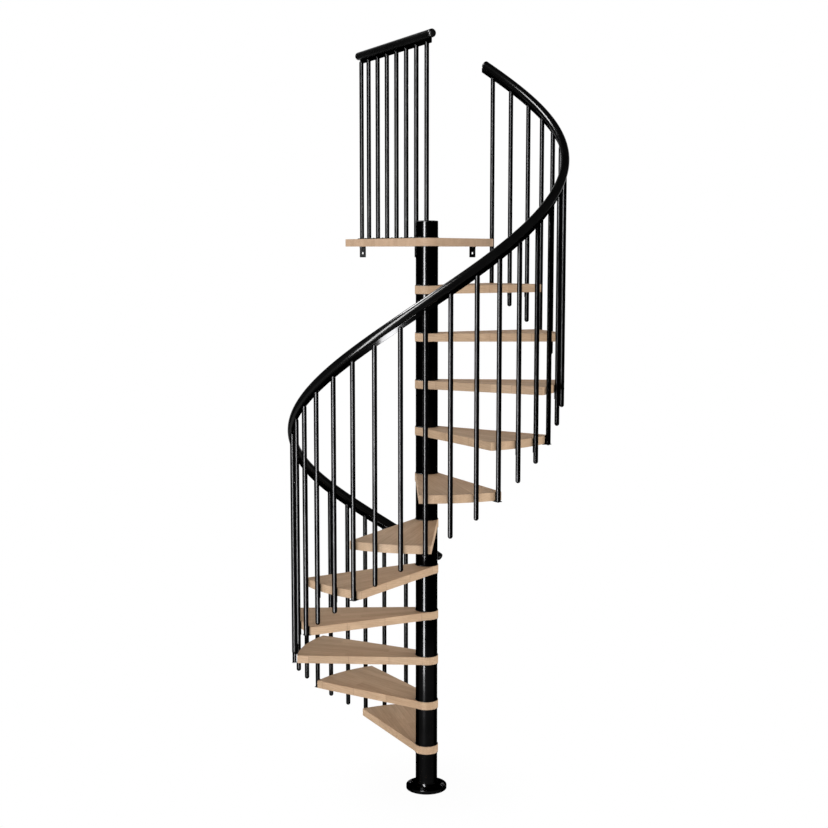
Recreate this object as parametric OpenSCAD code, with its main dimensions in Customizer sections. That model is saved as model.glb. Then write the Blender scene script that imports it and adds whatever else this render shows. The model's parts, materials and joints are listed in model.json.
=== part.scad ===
// Spiral staircase kit: steel column, wooden treads, steel balusters and a round plastic handrail.
// The origin is the centre of the floor flange's underside, and the landing's back edge faces +Y.

/* [Stair] */
// Height from one tread to the next
riser = 220; // [200:1:235]
// Turn from one tread to the next, in degrees
step_angle = 29.9; // [27:0.1:30]
// Compass angle of the last tread's main baluster, in degrees from +X
last_post_angle = 58.5; // [50:0.5:70]

/* [Column] */
// Outer diameter of the spacer tubes
column_d = 104; // [94:1:112]
// Outer diameter of the floor flange
flange_d = 195; // [180:1:260]
// Thickness of the floor flange
flange_t = 18; // [10:1:25]
// Height of the column above the landing
column_rise = 74; // [40:1:150]

/* [Treads] */
// Thickness of the treads and the landing
tread_t = 38; // [30:1:45]
// How far each tread reaches under the next one, in degrees
tread_over = 5.1; // [1:0.1:7]
// Wood left around the column's foot in a tread
eye_over = 4; // [4:0.5:12]

/* [Landing] */
// Distance from the column's axis to the landing's back edge
landing_back = 840; // [780:1:1000]
// Distance from the column's axis to the landing's back left corner
landing_left = 418; // [380:1:450]
// Direction of the landing's left side, in degrees from straight back
landing_side_angle = 24.7; // [20:0.1:27]

/* [Railing] */
// Diameter of the balusters
baluster_d = 22; // [18:0.5:26]
// Length of the main balusters, which stand on the treads' brackets
baluster_l = 1053; // [950:1:1100]
// Radius of the circle that the balusters stand on
ring_r = 632; // [628:1:650]
// Diameter of the handrail
rail_d = 40; // [36:1:44]
// Thickness of the flat band under the handrail
band_t = 5; // [4:0.5:6]
// Distance between the landing's balusters
landing_pitch = 115; // [100:1:120]

/* [Hidden] */
tread_count = 11;
posts_per_tread = 3;
post_count = tread_count * posts_per_tread;
landing_post_count = 8;
$fn = 64;
edge_fn = 360;
saddle_fn = 180;

column_r = column_d / 2;
flange_r = flange_d / 2;
eye_r = column_r + eye_over;
eye_bite = 2;
pole_r = 30;
pole_gap = 0.5;
tube_wall = 4;
ring_t = 3;
ring_over = 3;
landing_top = (tread_count + 1) * riser;
column_top = landing_top + column_rise;
cap_t = 6;

bolt_inset = 17.5;
bolt_circle_r = flange_r - bolt_inset;
bolt_hole_r = 6;
bolt_count = 4;
bolt_phase = -15;

baluster_r = baluster_d / 2;
post_angle_step = step_angle / posts_per_tread;
post_rise = riser / posts_per_tread;

// A tread's outer edge is an arc that lies one plate's thickness inside the balusters
plate_t = 3;
plate_w = 14;
saddle = 3;
fit_gap = 0.15;
edge_r = ring_r - baluster_r - plate_t;
tread_lead = 2.4;
tread_half_angle = (step_angle + tread_over) / 2;
post_to_mid = tread_half_angle - tread_lead;
foot_t = 3;
foot_w = 28;
foot_back = 45;
starter_w = 36;

clip_w = 8;
clip_below_top = 4;
clip_drop = 28;
hanging_drop = 4;
hanging_shift = 3;

rail_r = rail_d / 2;
rail_sides = 16;
rail_gap = 6.5;
band_gap = 0.3;
band_overlap = 16;
band_strip = 2;
notch_gap = 0.5;
rail_slope = atan(riser / (ring_r * step_angle * PI / 180));
rail_lift = rail_gap + rail_r / cos(rail_slope);
rail_before = 0.63;
rail_after = 0.39;
band_before = 0.46;
band_after = 0.55;
rail_step = 5;
cap_l = 12;

landing_past_post = 5.8;
landing_before_post = 22;
last_post = [ring_r * cos(last_post_angle), ring_r * sin(last_post_angle)];
landing_front = last_post + [landing_past_post, -landing_before_post];
landing_right = landing_front.x;
landing_post_inset = 59;
landing_post_back = 53;
landing_end_pitch = 94;
landing_foot_t = 4;
landing_foot_w = 30;
landing_foot_over = 25;
landing_band_short = 4;
landing_post_l = 900;
landing_rail_near = 55;
landing_rail_far = 33;
post_notch_gap = 1;

bracket_w = 32;
bracket_h = 56;
bracket_t = 4;
bracket_back = 50;
bracket_hole_r = 6;
bracket_hole_drop = 34;
bracket_margin = 91;

function post_angle(i) = last_post_angle - (post_count - i) * post_angle_step;
function is_main(i) = i % posts_per_tread == 0;
function post_foot(i) = i * post_rise - tread_t - (is_main(i) ? 0 : hanging_drop);

// Where baluster i stands, in post numbers: the hanging ones lean a little to the main one beside them
function bar_at(i) = is_main(i) ? i : i + (i % posts_per_tread == 1 ? -1 : 1)
    * hanging_shift / (ring_r * PI / 180 * post_angle_step);
function post_head(i) = i * post_rise - tread_t + baluster_l;
function tread_mid(k) = post_angle(k * posts_per_tread) - post_to_mid;
function tread_top(k) = k * riser;
function polar(r, a) = [r * cos(a), r * sin(a)];

// Height of the handrail's centre line at post number i, which may be a fraction
function rail_height(i) = post_head(i) + rail_lift;

// Directions on the landing: along its left side, and across it to the right
landing_dir = [-sin(landing_side_angle), cos(landing_side_angle)];
landing_across = [cos(landing_side_angle), sin(landing_side_angle)];
landing_edge_foot = [-landing_left, landing_back] - landing_dir * (landing_back / landing_dir.y);
landing_post_far = (landing_back - landing_post_back
    - (landing_edge_foot + landing_across * landing_post_inset).y) / landing_dir.y;

function landing_post_at(n) = landing_post_far
    - (n == 0 ? 0 : landing_end_pitch + (n - 1) * landing_pitch);
function landing_point(s) = landing_edge_foot + landing_across * landing_post_inset + landing_dir * s;

landing_post_z = landing_top + landing_foot_t;
landing_head = landing_post_z + landing_post_l;
landing_rail_z = landing_head + rail_gap + rail_r;
landing_near = landing_post_at(landing_post_count - 1) - landing_rail_near;
landing_far = landing_post_far + landing_rail_far;

// A solid skinned over a list of rings of points
module skin(rings) {
    n = len(rings[0]);
    m = len(rings);
    points = [for (ring = rings) each ring];
    sides = [for (i = [0 : m - 2], j = [0 : n - 1])
        [i * n + j, i * n + (j + 1) % n, (i + 1) * n + (j + 1) % n, (i + 1) * n + j]];
    first = [[for (j = [n - 1 : -1 : 0]) j]];
    last = [[for (j = [0 : n - 1]) (m - 1) * n + j]];
    polyhedron(points, concat(sides, first, last), convexity = 8);
}

// An upright tube or ring with a bore
module tube(r, bore, h) {
    difference() {
        cylinder(r = r, h = h);
        translate([0, 0, -1]) cylinder(r = bore, h = h + 2);
    }
}

// Quarter circle of a rounded end, from its side to its tip
function round_end(r, h, flip) = [for (q = [0 : 15 : 90])
    [q == 90 ? 0 : r * cos(q), flip ? r - r * sin(q) : h - r + r * sin(q)]];

// A baluster with a rounded top, and a rounded or a flat foot
module baluster_bar(l, rounded_foot) {
    foot = rounded_foot ? [for (q = [6 : -1 : 0]) round_end(baluster_r, l, true)[q]]
        : [[0, 0], [baluster_r, 0]];
    rotate_extrude() polygon(concat(foot, round_end(baluster_r, l, false)));
}

module floor_flange() {
    color("black") difference() {
        union() {
            cylinder(r = flange_r, h = flange_t);
            cylinder(r1 = column_r + flange_t, r2 = column_r, h = flange_t * 2);
        }
        translate([0, 0, flange_t]) cylinder(r = pole_r + pole_gap, h = flange_t + 1);
        for (b = [0 : bolt_count - 1])
            rotate(bolt_phase + b * 360 / bolt_count)
                translate([bolt_circle_r, 0, -1]) cylinder(r = bolt_hole_r, h = flange_t + 2);
    }
}

module inner_pole() {
    color("gray") translate([0, 0, flange_t]) tube(pole_r, pole_r - tube_wall, column_top - flange_t);
}

// Underside and top of the spacer tube in gap number g, where gap 0 is under the first tread
function gap_bottom(g) = g == 0 ? flange_t * 2 : tread_top(g);
function gap_top(g) = g > tread_count ? column_top : tread_top(g + 1) - tread_t;

module spacer_tubes() {
    color("black") for (g = [0 : tread_count + 1])
        translate([0, 0, gap_bottom(g) + (g == 0 ? 0 : ring_t)])
            tube(column_r, column_r - tube_wall,
                gap_top(g) - gap_bottom(g) - (g == 0 || g > tread_count ? ring_t : 2 * ring_t));
}

module spacer_rings() {
    color("black") {
        for (k = [1 : tread_count + 1]) {
            translate([0, 0, tread_top(k)])
                tube(column_r + ring_over, pole_r + pole_gap, ring_t);
            translate([0, 0, tread_top(k) - tread_t - ring_t])
                tube(column_r + ring_over, pole_r + pole_gap, ring_t);
        }
    }
}

module column_cap() {
    color("black") translate([0, 0, column_top]) cylinder(r = column_r, h = cap_t);
}

// A tread's side runs from the eye to the corner of the outer edge, and past it for the cut
tread_start = [0, eye_r - eye_bite];
tread_corner = [-edge_r * cos(tread_half_angle), edge_r * sin(tread_half_angle)];
tread_side = tread_start + 1.1 * (tread_corner - tread_start);

module tread(k) {
    color("burlywood") translate([0, 0, tread_top(k) - tread_t])
        rotate(tread_mid(k) + 180) difference() {
            union() {
                cylinder(r = eye_r, h = tread_t);
                intersection() {
                    cylinder(r = edge_r, h = tread_t, $fn = edge_fn);
                    translate([0, 0, -1]) linear_extrude(tread_t + 2) polygon([
                        tread_start, tread_side, [tread_side.x, -tread_side.y],
                        [tread_start.x, -tread_start.y]
                    ]);
                }
            }
            translate([0, 0, -1]) cylinder(r = pole_r + pole_gap, h = tread_t + 2);
        }
}

module landing() {
    side = atan2(landing_front.y, landing_front.x) - asin(eye_r / norm(landing_front));
    color("burlywood") translate([0, 0, landing_top - tread_t]) difference() {
        union() {
            cylinder(r = eye_r, h = tread_t);
            linear_extrude(tread_t) polygon([
                polar(eye_r - eye_bite, side - 90), landing_front, [landing_right, landing_back],
                [-landing_left, landing_back], landing_edge_foot
            ]);
        }
        translate([0, 0, -1]) cylinder(r = pole_r + pole_gap, h = tread_t + 2);
        translate([last_post.x, last_post.y, -1])
            cylinder(r = baluster_r + post_notch_gap, h = tread_t + 2);
    }
}

module starter_baluster() {
    color("black") rotate(post_angle(0)) translate([ring_r, 0, foot_t])
        baluster_bar(post_head(0) - foot_t, false);
}

module starter_foot() {
    color("black") rotate(post_angle(0))
        translate([ring_r - starter_w / 2, -starter_w / 2, 0]) cube([starter_w, starter_w, foot_t]);
}

module baluster(i) {
    rotate(post_angle(bar_at(i))) translate([ring_r, 0, post_foot(i)])
        baluster_bar(post_head(bar_at(i)) - post_foot(i), !is_main(i));
}

// The three balusters of tread k: two that hang on clips, and the main one on its bracket
module balusters(k) {
    color("black") for (i = [k * posts_per_tread - 2 : k * posts_per_tread]) baluster(i);
}

// A bar between a tread's outer edge and a baluster, hollowed to fit both
module spacer_bar(w, h) {
    difference() {
        translate([edge_r - 1, -w / 2, 0]) cube([1 + plate_t + saddle, w, h]);
        translate([0, 0, -1]) rotate(180)
            cylinder(r = edge_r + fit_gap / 2, h = h + 2, $fn = edge_fn);
        translate([ring_r, 0, -1])
            cylinder(r = baluster_r + fit_gap, h = h + 2, $fn = saddle_fn);
    }
}

module main_brackets() {
    color("black") for (k = [1 : tread_count])
        translate([0, 0, tread_top(k) - tread_t]) rotate(post_angle(k * posts_per_tread)) {
            spacer_bar(plate_w, tread_t);
            translate([edge_r - foot_back, -foot_w / 2, -foot_t])
                cube([foot_back + plate_t + baluster_d, foot_w, foot_t]);
        }
}

module clip(k, i) {
    translate([0, 0, tread_top(k) - tread_t - clip_drop]) rotate(post_angle(bar_at(i)))
        spacer_bar(clip_w, tread_t + clip_drop - clip_below_top);
}

module baluster_clips() {
    color("black") for (k = [1 : tread_count], d = [1, 2]) clip(k, k * posts_per_tread - d);
}

rail_first = -rail_before;
rail_last = post_count + rail_after;
rail_rings = ceil((rail_last - rail_first) * post_angle_step / rail_step);

// A ring of the handrail's round section at post number i
function rail_ring(i) = let (a = post_angle(i), s = rail_slope) [for (q = [0 : rail_sides - 1])
    let (u = rail_r * cos(q * 360 / rail_sides), v = rail_r * sin(q * 360 / rail_sides))
    [(ring_r + u) * cos(a) + v * sin(a) * sin(s),
     (ring_r + u) * sin(a) - v * cos(a) * sin(s),
     rail_height(i) + v * cos(s)]];

module handrail() {
    color("black") skin([for (n = [0 : rail_rings])
        rail_ring(rail_first + (rail_last - rail_first) * n / rail_rings)]);
}

// A ring of the flat band at post number i, with its lower edge raised over a post
function band_ring(i, over_post) = let (
    a = post_angle(i),
    top = post_head(i) + rail_gap - band_gap,
    low = over_post ? top - band_strip : post_head(i) - band_overlap)
    [each [for (p = [[-1, low], [1, low], [1, top], [-1, top]])
        [(ring_r + p[0] * band_t / 2) * cos(a), (ring_r + p[0] * band_t / 2) * sin(a), p[1]]]];

module handrail_band() {
    notch = (baluster_r + notch_gap) / (ring_r * PI / 180) / post_angle_step;
    slant = notch / 20;
    color("black") skin([
        band_ring(-band_before, false),
        for (i = [0 : post_count]) let (at = bar_at(i)) each [
            band_ring(at - notch - slant, false), band_ring(at - notch, true),
            band_ring(at + notch, true), band_ring(at + notch + slant, false),
            if (i < post_count) band_ring(i + 1 / 3, false),
            if (i < post_count) band_ring(i + 2 / 3, false)
        ],
        band_ring(post_count + band_after, false)
    ]);
}

// A domed plug on the end of a rail
module rail_cap() {
    rotate_extrude() polygon([
        [0, 0], for (q = [0 : 15 : 75]) [rail_r * cos(q), cap_l * sin(q)], [0, cap_l]
    ]);
}

// Places a cap on the handrail at post number i, facing up the stair or down it
module handrail_end(i, up) {
    a = post_angle(i);
    translate([ring_r * cos(a), ring_r * sin(a), rail_height(i)])
        rotate([0, 0, a]) rotate([up ? -90 + rail_slope : 90 + rail_slope, 0, 0]) rail_cap();
}

module handrail_caps() {
    color("black") {
        handrail_end(rail_first, false);
        handrail_end(rail_last, true);
    }
}

module landing_balusters() {
    color("black") for (n = [0 : landing_post_count - 1])
        translate([each landing_point(landing_post_at(n)), landing_post_z])
            baluster_bar(landing_post_l, false);
}

// A bar along the line of the landing's balusters, from near to far
module landing_bar(near, far, w, low, h) {
    translate([each landing_point(near), low]) rotate(landing_side_angle)
        translate([-w / 2, 0, 0]) cube([w, far - near, h]);
}

module landing_foot_bar() {
    color("black") difference() {
        landing_bar(landing_post_at(landing_post_count - 1) - baluster_r,
            landing_post_far + landing_foot_over, landing_foot_w, landing_top, landing_foot_t);
        translate([0, 0, landing_top - 1])
            cylinder(r = column_r + ring_over + 1, h = landing_foot_t + 2);
    }
}

module landing_handrail() {
    color("black") translate([each landing_point(landing_near), landing_rail_z])
        rotate(landing_side_angle) rotate([-90, 0, 0])
            cylinder(r = rail_r, h = landing_far - landing_near);
}

module landing_band() {
    low = landing_head - band_overlap;
    color("black") difference() {
        landing_bar(landing_near + landing_band_short, landing_far - rail_r, band_t, low,
            band_overlap + rail_gap - band_gap);
        for (n = [0 : landing_post_count - 1])
            translate([each landing_point(landing_post_at(n)), low - 1])
                cylinder(r = baluster_r + notch_gap, h = band_overlap + 1 + notch_gap);
    }
}

module landing_rail_caps() {
    color("black") {
        translate([each landing_point(landing_near), landing_rail_z])
            rotate(landing_side_angle) rotate([90, 0, 0]) rail_cap();
        translate([each landing_point(landing_far), landing_rail_z])
            rotate(landing_side_angle) rotate([-90, 0, 0]) rail_cap();
    }
}

module wall_brackets() {
    first = -landing_left + bracket_margin;
    pitch = (landing_left + landing_right - 2 * bracket_margin) / 2;
    color("black") for (n = [0 : 2])
        translate([first + n * pitch, landing_back, landing_top - tread_t]) difference() {
            union() {
                translate([-bracket_w / 2, -bracket_t, -bracket_h])
                    cube([bracket_w, bracket_t, bracket_h]);
                translate([-bracket_w / 2, -bracket_back, -bracket_t])
                    cube([bracket_w, bracket_back, bracket_t]);
            }
            translate([0, 1, -bracket_hole_drop]) rotate([90, 0, 0])
                cylinder(r = bracket_hole_r, h = bracket_t + 2);
        }
}

floor_flange();
inner_pole();
spacer_tubes();
spacer_rings();
column_cap();
tread(1);  // tread_01
tread(2);  // tread_02
tread(3);  // tread_03
tread(4);  // tread_04
tread(5);  // tread_05
tread(6);  // tread_06
tread(7);  // tread_07
tread(8);  // tread_08
tread(9);  // tread_09
tread(10);  // tread_10
tread(11);  // tread_11
landing();
starter_baluster();
starter_foot();
balusters(1);  // balusters_01
balusters(2);  // balusters_02
balusters(3);  // balusters_03
balusters(4);  // balusters_04
balusters(5);  // balusters_05
balusters(6);  // balusters_06
balusters(7);  // balusters_07
balusters(8);  // balusters_08
balusters(9);  // balusters_09
balusters(10);  // balusters_10
balusters(11);  // balusters_11
main_brackets();
baluster_clips();
handrail();
handrail_band();
handrail_caps();
landing_balusters();
landing_foot_bar();
landing_handrail();
landing_band();
landing_rail_caps();
wall_brackets();
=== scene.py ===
"""Looks of the spiral staircase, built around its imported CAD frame. Metres, +Z up."""
import json
import math

import bmesh
import bpy
from mathutils import Matrix, Vector
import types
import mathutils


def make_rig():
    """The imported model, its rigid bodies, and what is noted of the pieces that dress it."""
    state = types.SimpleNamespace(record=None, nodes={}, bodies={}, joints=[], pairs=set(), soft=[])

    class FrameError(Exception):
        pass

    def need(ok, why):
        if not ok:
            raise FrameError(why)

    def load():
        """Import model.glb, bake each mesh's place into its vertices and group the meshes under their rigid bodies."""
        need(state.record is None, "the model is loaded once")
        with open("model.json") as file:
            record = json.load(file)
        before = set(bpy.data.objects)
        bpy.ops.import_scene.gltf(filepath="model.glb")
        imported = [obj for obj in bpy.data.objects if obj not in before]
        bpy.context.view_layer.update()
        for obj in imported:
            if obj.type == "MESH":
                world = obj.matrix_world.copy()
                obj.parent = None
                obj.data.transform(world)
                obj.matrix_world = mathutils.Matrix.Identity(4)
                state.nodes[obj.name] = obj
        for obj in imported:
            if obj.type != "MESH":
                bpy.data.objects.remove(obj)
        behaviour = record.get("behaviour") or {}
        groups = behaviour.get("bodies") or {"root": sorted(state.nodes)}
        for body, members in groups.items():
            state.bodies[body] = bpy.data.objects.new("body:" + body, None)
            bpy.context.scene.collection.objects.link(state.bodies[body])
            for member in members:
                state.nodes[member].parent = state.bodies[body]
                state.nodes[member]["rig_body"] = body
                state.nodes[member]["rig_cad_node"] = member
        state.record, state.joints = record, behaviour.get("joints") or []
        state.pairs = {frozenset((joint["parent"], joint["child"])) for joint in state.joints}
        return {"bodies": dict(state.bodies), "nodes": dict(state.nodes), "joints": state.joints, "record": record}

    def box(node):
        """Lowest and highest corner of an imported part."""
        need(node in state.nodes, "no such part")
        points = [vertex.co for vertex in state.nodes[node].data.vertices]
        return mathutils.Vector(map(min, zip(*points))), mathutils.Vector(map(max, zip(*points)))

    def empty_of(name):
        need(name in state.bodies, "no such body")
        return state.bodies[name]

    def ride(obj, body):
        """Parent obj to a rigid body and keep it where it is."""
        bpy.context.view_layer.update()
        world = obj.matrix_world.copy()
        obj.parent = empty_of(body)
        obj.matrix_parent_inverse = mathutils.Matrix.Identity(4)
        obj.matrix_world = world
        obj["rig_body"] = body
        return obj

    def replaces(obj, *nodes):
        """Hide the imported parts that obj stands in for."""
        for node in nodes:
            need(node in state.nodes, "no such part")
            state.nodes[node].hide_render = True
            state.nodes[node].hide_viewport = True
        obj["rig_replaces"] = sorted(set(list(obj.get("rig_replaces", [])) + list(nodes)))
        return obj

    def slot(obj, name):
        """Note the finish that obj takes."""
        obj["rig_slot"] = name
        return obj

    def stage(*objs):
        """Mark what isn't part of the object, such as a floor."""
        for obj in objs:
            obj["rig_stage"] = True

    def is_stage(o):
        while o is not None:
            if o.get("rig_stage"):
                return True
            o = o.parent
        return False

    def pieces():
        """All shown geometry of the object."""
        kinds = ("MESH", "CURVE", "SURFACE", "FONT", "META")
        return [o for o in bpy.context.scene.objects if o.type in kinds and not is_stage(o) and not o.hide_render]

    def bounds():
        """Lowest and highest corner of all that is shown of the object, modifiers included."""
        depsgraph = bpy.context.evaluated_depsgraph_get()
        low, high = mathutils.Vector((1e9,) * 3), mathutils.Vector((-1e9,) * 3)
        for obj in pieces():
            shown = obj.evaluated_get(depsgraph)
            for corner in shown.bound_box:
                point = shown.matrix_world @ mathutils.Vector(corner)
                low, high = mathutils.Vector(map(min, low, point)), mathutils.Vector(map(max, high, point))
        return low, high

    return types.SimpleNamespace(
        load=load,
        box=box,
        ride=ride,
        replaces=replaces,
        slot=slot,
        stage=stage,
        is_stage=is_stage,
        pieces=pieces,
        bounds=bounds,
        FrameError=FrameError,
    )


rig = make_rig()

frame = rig.load()
cad_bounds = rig.bounds()

# ---------------------------------------------------------------- sizes, from the CAD frame

MM = 0.001
TREADS = 11
POSTS_PER_TREAD = 3
POSTS = TREADS * POSTS_PER_TREAD
LANDING_POSTS = 8

tread_low, tread_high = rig.box("tread_01")
TREAD_T = tread_high.z - tread_low.z
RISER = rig.box("tread_02")[1].z - tread_high.z
COLUMN_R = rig.box("column_cap")[1].x
COLUMN_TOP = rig.box("column_cap")[0].z
CAP_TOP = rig.box("column_cap")[1].z
FLANGE_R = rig.box("floor_flange")[1].x
FLANGE_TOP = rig.box("floor_flange")[1].z
RING_R_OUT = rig.box("spacer_rings")[1].x
LANDING_LOW, LANDING_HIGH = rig.box("landing")
BRACKETS_LOW, BRACKETS_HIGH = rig.box("wall_brackets")

# the turn of the stair, in degrees, and the circle that the balusters stand on
STEP = 29.9
LAST_POST = 58.5
POST_STEP = STEP / POSTS_PER_TREAD
POST_RISE = RISER / POSTS_PER_TREAD
RING_R = 632 * MM
BALUSTER_R = 11 * MM
BALUSTER_L = 1053 * MM
HANGING_DROP = 4 * MM
HANGING_SHIFT = 3 * MM

# column and floor flange
FLANGE_T = 18 * MM
FLANGE_BOLTS = 4
FLANGE_BOLT_INSET = 17.5 * MM
FLANGE_BOLT_FIRST = -15
RING_T = 3 * MM
EYE_R = COLUMN_R + 4 * MM
EYE_BITE = 2 * MM

# treads: outer edge just inside the balusters, how far a corner leads its post, half angle of the wedge
PLATE_T = 3 * MM
EDGE_R = RING_R - BALUSTER_R - PLATE_T
TREAD_LEAD = 2.4
HALF_ANGLE = (STEP + 5.1) / 2
POST_TO_MID = HALF_ANGLE - TREAD_LEAD
BOARD_EASE = 2.2 * MM
STAVE = 42 * MM
STAVE_L = 420 * MM

# what holds the balusters
PLATE_W = 14 * MM
FIT_GAP = 0.15 * MM
FOOT_T = 3 * MM
FOOT_W = 28 * MM
FOOT_BACK = 45 * MM
STARTER_W = 36 * MM
STARTER_SCREW_OUT = 13.6 * MM
CLIP_W = 8 * MM
CLIP_BELOW_TOP = 4 * MM
CLIP_DROP = 28 * MM

# handrail and the band under it; the ends are in post numbers
RAIL_R = 20 * MM
RAIL_GAP = 6.5 * MM
BAND_T = 5 * MM
BAND_OVER = 16 * MM
BAND_GAP = 0.3 * MM
RAIL_SLOPE = math.atan(RISER / (RING_R * math.radians(STEP)))
RAIL_LIFT = RAIL_GAP + RAIL_R / math.cos(RAIL_SLOPE)
RAIL_FIRST = -0.63
RAIL_LAST = POSTS + 0.39
BAND_FIRST = -0.46
BAND_LAST = POSTS + 0.55
RAIL_STATIONS = 330
CAP_L = 12 * MM

# landing and its railing
SIDE_ANGLE = 24.7
NOTCH_GAP = 1 * MM
NOTCH_FRONT = 22 * MM
LANDING_POST_L = 900 * MM
LANDING_POST_INSET = 59 * MM
LANDING_POST_BACK = 53 * MM
LANDING_PITCH = 115 * MM
LANDING_END_PITCH = 94 * MM
LANDING_RAIL_NEAR = 55 * MM
LANDING_RAIL_FAR = 33 * MM
LANDING_BAND_SHORT = 4 * MM
LANDING_FOOT_T = 4 * MM
LANDING_FOOT_W = 30 * MM
LANDING_FOOT_PAST = 25 * MM

# wall brackets: width, thickness, height, depth, and the round hole under the top
ANGLE_W = 32 * MM
ANGLE_T = 4 * MM
ANGLE_H = 56 * MM
ANGLE_DEEP = 50 * MM
ANGLE_HOLE_R = 6 * MM
ANGLE_HOLE_DROP = 34 * MM

# screw heads: radius, height, radius of the socket
FOOT_SCREW = (4.5 * MM, 2.6 * MM, 1.8 * MM)
TUBE_SCREW = (5.5 * MM, 3.2 * MM, 2.4 * MM)
BAR_SCREW = (4.5 * MM, 2.4 * MM, 1.8 * MM)
PLATE_SCREW = (2.6 * MM, 1.6 * MM, 1.1 * MM)
ANGLE_SCREW = (4.2 * MM, 2.4 * MM, 1.7 * MM)
# floor bolt: half width of the head, its height, radius and thickness of the washer
FLOOR_BOLT = (8.5 * MM, 7 * MM, 11 * MM, 2 * MM)


def polar(r, degrees, z=0.0):
    """A point at a radius and a turn from the column's axis."""
    return Vector((r * math.cos(math.radians(degrees)), r * math.sin(math.radians(degrees)), z))


def post_angle(i):
    """The turn of post i; 0 is the starter on the floor, and every third is a main baluster."""
    return LAST_POST - (POSTS - i) * POST_STEP


def is_main(i):
    return i % POSTS_PER_TREAD == 0


def post_foot(i):
    """The height of a baluster's foot, a little lower where it hangs."""
    return i * POST_RISE - TREAD_T - (0 if is_main(i) else HANGING_DROP)


def post_head(i):
    """The height of a baluster's head."""
    return i * POST_RISE - TREAD_T + BALUSTER_L


def bar_at(i):
    """Where baluster i stands, in post numbers."""
    shift = HANGING_SHIFT / (RING_R * math.radians(POST_STEP))
    return i if is_main(i) else i + (-shift if i % POSTS_PER_TREAD == 1 else shift)


def tread_mid(k):
    """The turn of tread k's middle."""
    return post_angle(k * POSTS_PER_TREAD) - POST_TO_MID


def turned(degrees, place=(0, 0, 0)):
    """A turn about the vertical, and then a move."""
    return Matrix.Translation(place) @ Matrix.Rotation(math.radians(degrees), 4, "Z")


# ---------------------------------------------------------------- mesh helpers

def finish_mesh(name, verts, faces, material, slot, bevel=0.0, matrix=None, origin=(0, 0, 0)):
    """A shaded mesh object that rides on the staircase.

    origin moves the mesh in its own frame and the frame back by as much, so the piece stays
    where it is and its material starts from another place.
    """
    shift = Vector(origin)
    mesh = bpy.data.meshes.new(name)
    mesh.from_pydata([tuple(Vector(v) + shift) for v in verts], [], faces)
    bm = bmesh.new()
    bm.from_mesh(mesh)
    bmesh.ops.recalc_face_normals(bm, faces=bm.faces)
    bm.to_mesh(mesh)
    bm.free()
    mesh.polygons.foreach_set("use_smooth", [True] * len(mesh.polygons))
    mesh.set_sharp_from_angle(angle=math.radians(34))
    mesh.materials.append(material)
    piece = bpy.data.objects.new(name, mesh)
    bpy.context.scene.collection.objects.link(piece)
    piece.matrix_world = (matrix or Matrix.Identity(4)) @ Matrix.Translation(-shift)
    if bevel:
        rounding = piece.modifiers.new("eased edges", "BEVEL")
        rounding.width = bevel
        rounding.segments = 3
        rounding.limit_method = "ANGLE"
        rounding.angle_limit = math.radians(35)
        rounding.harden_normals = True
    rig.ride(piece, "root")
    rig.slot(piece, slot)
    return piece


class Shape:
    """Vertices and faces of several simple forms, gathered into one piece."""

    def __init__(self):
        self.verts, self.faces = [], []

    def add(self, verts, faces, matrix=None):
        start = len(self.verts)
        self.verts += [(matrix @ Vector(v)) if matrix else Vector(v) for v in verts]
        self.faces += [tuple(start + i for i in f) for f in faces]
        return self

    def __iter__(self):
        return iter((self.verts, self.faces))


def lathe(profile, segments):
    """A closed form turned round +Z from (radius, height) points.

    Both ends of the profile lie on the axis, or its last point is joined to its first.
    """
    ring = profile[0][0] > 0 and profile[-1][0] > 0
    verts, rows = [], []
    for r, z in profile:
        if r == 0:
            rows.append([len(verts)] * segments)
            verts.append((0, 0, z))
        else:
            rows.append(list(range(len(verts), len(verts) + segments)))
            verts += [(r * math.cos(t), r * math.sin(t), z)
                      for t in (2 * math.pi * n / segments for n in range(segments))]
    if ring:
        rows.append(rows[0])
    faces = []
    for a, b in zip(rows, rows[1:]):
        for n in range(segments):
            m = (n + 1) % segments
            loop = [a[n], a[m], b[m], b[n]]
            loop = [v for i, v in enumerate(loop) if v != loop[i - 1]]
            if len(loop) > 2:
                faces.append(tuple(loop))
    return verts, faces


def prism(outline, low, high):
    """An upright solid over an outline of (x, y) points."""
    n = len(outline)
    verts = [(x, y, low) for x, y in outline] + [(x, y, high) for x, y in outline]
    faces = [tuple(range(n - 1, -1, -1)), tuple(range(n, 2 * n))]
    faces += [(i, (i + 1) % n, n + (i + 1) % n, n + i) for i in range(n)]
    return verts, faces


def skinned(rings):
    """A closed solid skinned over rings of points."""
    n = len(rings[0])
    verts = [p for ring in rings for p in ring]
    faces = [(i * n + j, i * n + (j + 1) % n, (i + 1) * n + (j + 1) % n, (i + 1) * n + j)
             for i in range(len(rings) - 1) for j in range(n)]
    faces.append(tuple(range(n - 1, -1, -1)))
    faces.append(tuple(range(len(verts) - n, len(verts))))
    return verts, faces


def rounded_rectangle(w, h, r, steps=5):
    """Points round a rectangle centred on the origin, with rounded corners."""
    points = []
    for cx, cy, start in ((w / 2 - r, h / 2 - r, 0), (r - w / 2, h / 2 - r, 90),
                          (r - w / 2, r - h / 2, 180), (w / 2 - r, r - h / 2, 270)):
        for s in range(steps + 1):
            t = math.radians(start + 90 * s / steps)
            points.append((cx + r * math.cos(t), cy + r * math.sin(t)))
    return points


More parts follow.
